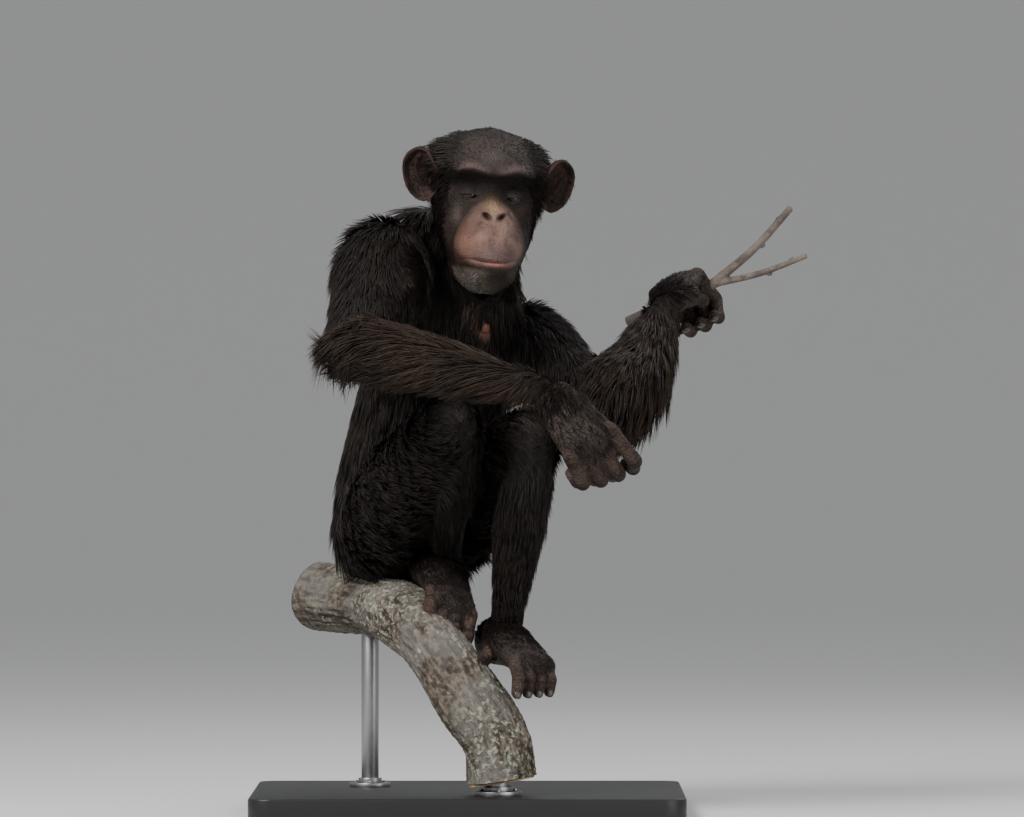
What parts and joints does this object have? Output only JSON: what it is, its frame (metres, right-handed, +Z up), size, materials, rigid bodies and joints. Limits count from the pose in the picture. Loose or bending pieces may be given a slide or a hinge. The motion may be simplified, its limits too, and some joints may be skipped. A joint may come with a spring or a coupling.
{
  "type": "chimpanzee",
  "caption": "Life-size still chimpanzee squatting on a short length of bough, one arm over its knees, the other holding a forked branch, on a flat display stand.",
  "frame": {"origin": "middle of the underside of the stand's flat base", "axes": "+Z up, +X to the viewer's right in the picture's view, the viewer looks along +Y; the animal's face looks towards -Y"},
  "size_m": [0.7023, 0.5718, 0.8568],
  "materials": {
    "coat": "black-brown hair over dark skin",
    "face_skin": "bare wrinkled facial skin, pinkish tan muzzle, dark round the eyes",
    "dark_skin": "bare dark grey-brown wrinkled skin",
    "eye": "glossy dark brown eye",
    "nail": "dark horn nail, satin",
    "bark": "rough grey-brown bark with pale lichen",
    "branch_bark": "smooth grey-brown twig bark",
    "cut_wood": "sawn end grain with rings",
    "stand_wood": "satin black display plate",
    "stand_steel": "brushed steel rod"
  },
  "bodies": {
    "root": {"head": "face_skin", "ear_right": "dark_skin", "ear_left": "dark_skin", "eye_right": "eye", "eye_left": "eye", "neck": "coat", "torso": "coat", "upper_arm_right": "coat", "upper_arm_left": "coat", "forearm_right": "coat", "forearm_left": "coat", "hand_right": "dark_skin", "hand_left": "dark_skin", "thigh_right": "coat", "thigh_left": "coat", "shin_right": "coat", "shin_left": "coat", "foot_right": "dark_skin", "foot_left": "dark_skin", "perch_bough": "bark", "perch_branch": "branch_bark", "stand_base": "stand_wood", "stand_rod_rear": "stand_steel", "stand_rod_front": "stand_steel"}
  },
  "joints": []
}
